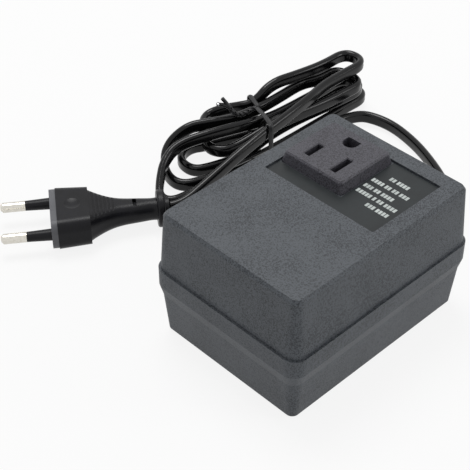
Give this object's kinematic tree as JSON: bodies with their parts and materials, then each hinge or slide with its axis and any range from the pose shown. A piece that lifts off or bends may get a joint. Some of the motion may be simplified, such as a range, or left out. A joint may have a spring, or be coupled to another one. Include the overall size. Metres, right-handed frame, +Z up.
{
  "type": "travel voltage converter",
  "caption": "Box-shaped step-down converter: two-part plastic case, raised flat-blade outlet in a recessed top, flat cord tied in a hank, and a round-pin plug.",
  "frame": {"origin": "middle of the case's base, on the surface that the case stands on", "axes": "+X along the case towards the end where the cord leaves, +Y across it towards the side where the hank lies, +Z up through the outlet's face"},
  "size_m": [0.1772, 0.1537, 0.0557],
  "materials": {
    "case": "fine-grained black ABS",
    "label": "satin dark film",
    "cord": "satin flexible PVC",
    "plug": "satin moulded PVC",
    "plug_plate": "matt moulded plastic",
    "pin": "nickel-plated brass",
    "tie": "plastic coat on steel wire",
    "screw": "zinc-plated steel",
    "contact": "sprung brass",
    "lamination": "varnished silicon steel",
    "bobbin": "moulded nylon",
    "winding": "enamelled copper wire",
    "tape": "polyester tape",
    "terminal": "tinned steel",
    "fuse": "bare can",
    "lead": "PVC lead",
    "sleeve": "shrunk sleeve",
    "clamp": "moulded nylon"
  },
  "bodies": {
    "root": {"upper_case": "case", "lower_case": "case", "case_screws": "screw", "outlet_block": "case", "outlet_back": "clamp", "outlet_screws": "screw", "rating_label": "label", "core_e_laminations": "lamination", "core_i_laminations": "lamination", "bobbin": "bobbin", "bobbin_terminals": "terminal", "common_winding": "winding", "series_winding": "winding", "winding_tape": "tape", "thermal_fuse": "fuse", "cord_bushing": "cord", "cord_tail": "cord", "cord_clamp": "clamp", "clamp_screws": "screw", "solder_sleeves": "sleeve", "line_contact": "contact", "neutral_contact": "contact", "live_input_lead": "lead", "neutral_input_lead": "lead", "line_output_lead": "lead", "neutral_output_lead": "lead", "cord_exit_run": "cord", "cord_hank": "cord", "cord_plug_run": "cord", "twist_tie": "tie", "plug_body": "plug", "plug_bridge": "plug_plate", "plug_pin_left": "pin", "plug_pin_right": "pin", "pin_sleeves": "plug"}
  },
  "joints": []
}
